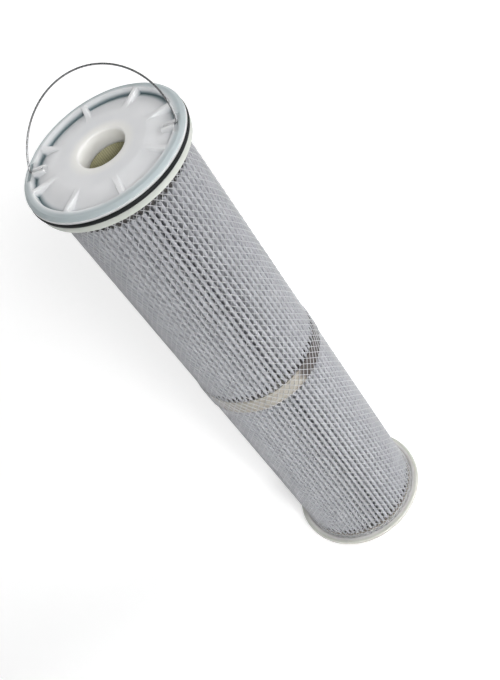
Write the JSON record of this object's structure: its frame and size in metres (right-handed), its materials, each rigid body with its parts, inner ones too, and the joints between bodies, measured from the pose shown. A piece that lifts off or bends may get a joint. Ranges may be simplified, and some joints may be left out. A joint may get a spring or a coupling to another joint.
{
  "type": "pleated filter cartridge",
  "caption": "Long pleated filter cartridge of joined modules in a netting sleeve, with an O-ring flange, a wire bail and a closed end.",
  "frame": {"origin": "centre of the blind end's outer face, where the cartridge stands", "axes": "+Z along the cartridge towards the open flanged end; X along the bail's hinge axis; the bail leans towards +Y"},
  "size_m": [0.1808, 0.1808, 0.7486],
  "materials": {
    "cap_plastic": "milky translucent moulded polypropylene",
    "ring_plastic": "natural moulded polypropylene",
    "core_plastic": "natural moulded polypropylene",
    "filter_media": "white nonwoven, folded in pleats",
    "net_plastic": "white extruded netting",
    "seal_rubber": "black moulded rubber",
    "bail_wire": "drawn stainless wire"
  },
  "bodies": {
    "cartridge": {"open_end_cap": "cap_plastic", "rim_o_ring": "seal_rubber", "upper_pack_top_ring": "ring_plastic", "upper_pleat_pack": "filter_media", "upper_core": "core_plastic", "upper_joint_ring": "ring_plastic", "lower_joint_ring": "ring_plastic", "lower_pleat_pack": "filter_media", "lower_core": "core_plastic", "blind_end_cap": "cap_plastic", "outer_netting": "net_plastic"},
    "bail": {"bail_handle": "bail_wire"}
  },
  "joints": [
    {"name": "bail_swing", "type": "hinge", "parent": "cartridge", "child": "bail", "pos_m": [0, 0, 0.691], "axis": [1, 0, 0], "range_deg": [-33, 123]}
  ]
}
